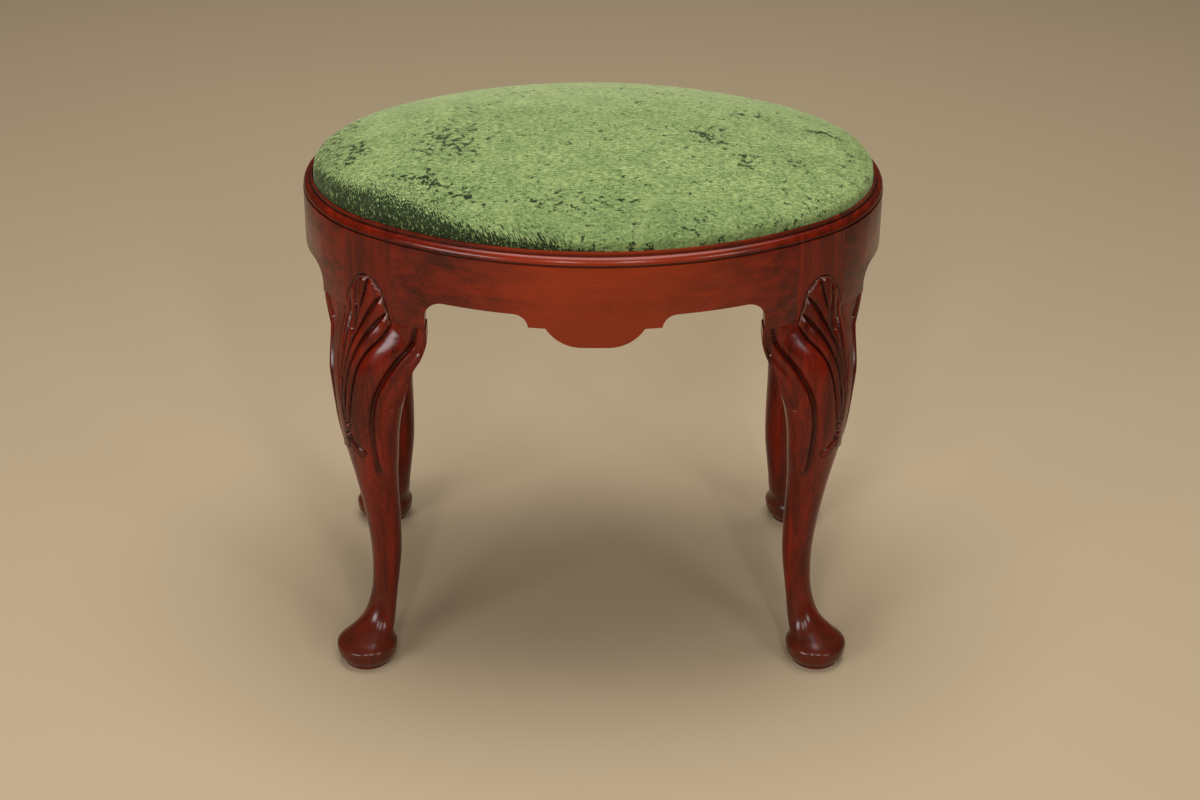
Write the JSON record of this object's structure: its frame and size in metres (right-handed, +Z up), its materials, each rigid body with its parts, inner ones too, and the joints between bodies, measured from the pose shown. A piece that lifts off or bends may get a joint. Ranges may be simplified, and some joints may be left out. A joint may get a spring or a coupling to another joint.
{
  "type": "vanity bench",
  "caption": "Oval vanity bench with a moulded mahogany frame, shell-carved cabriole legs on pad feet and a crowned velvet drop-in seat.",
  "frame": {"origin": "on the floor under the middle of the seat", "axes": "+Z up, +X along the long axis of the oval, -Y the front"},
  "size_m": [0.53, 0.378, 0.49],
  "materials": {
    "leg_wood": "red-brown mahogany, semi-gloss lacquer, grain along the leg",
    "rail_wood": "red-brown mahogany, semi-gloss lacquer, grain along the rail",
    "block_wood": "red-brown mahogany, semi-gloss lacquer",
    "inner_wood": "plain sawn hardwood, unfinished",
    "dowel_wood": "beech dowel",
    "screw_steel": "zinc-plated steel",
    "plywood": "plywood, unfinished",
    "foam": "upholstery foam",
    "velvet": "sage green crushed velvet",
    "black_cloth": "black woven dust cloth",
    "staple_steel": "galvanised wire"
  },
  "bodies": {
    "frame": {"front_left_leg": "leg_wood", "front_right_leg": "leg_wood", "rear_left_leg": "leg_wood", "rear_right_leg": "leg_wood", "front_rail": "rail_wood", "rear_rail": "rail_wood", "left_rail": "rail_wood", "right_rail": "rail_wood", "front_left_long_knee_block": "block_wood", "front_left_end_knee_block": "block_wood", "front_right_long_knee_block": "block_wood", "front_right_end_knee_block": "block_wood", "rear_left_long_knee_block": "block_wood", "rear_left_end_knee_block": "block_wood", "rear_right_long_knee_block": "block_wood", "rear_right_end_knee_block": "block_wood", "front_left_corner_block": "inner_wood", "front_right_corner_block": "inner_wood", "rear_left_corner_block": "inner_wood", "rear_right_corner_block": "inner_wood", "corner_block_screws": "screw_steel", "rail_dowels": "dowel_wood"},
    "seat": {"seat_board": "plywood", "seat_foam": "foam", "seat_cover": "velvet", "dust_cover": "black_cloth", "cover_staples": "staple_steel", "dust_cover_staples": "staple_steel"}
  },
  "joints": [
    {"name": "seat_lift", "type": "slide", "parent": "frame", "child": "seat", "axis": [0, 0, 1], "range_m": [0, 0.08]}
  ]
}
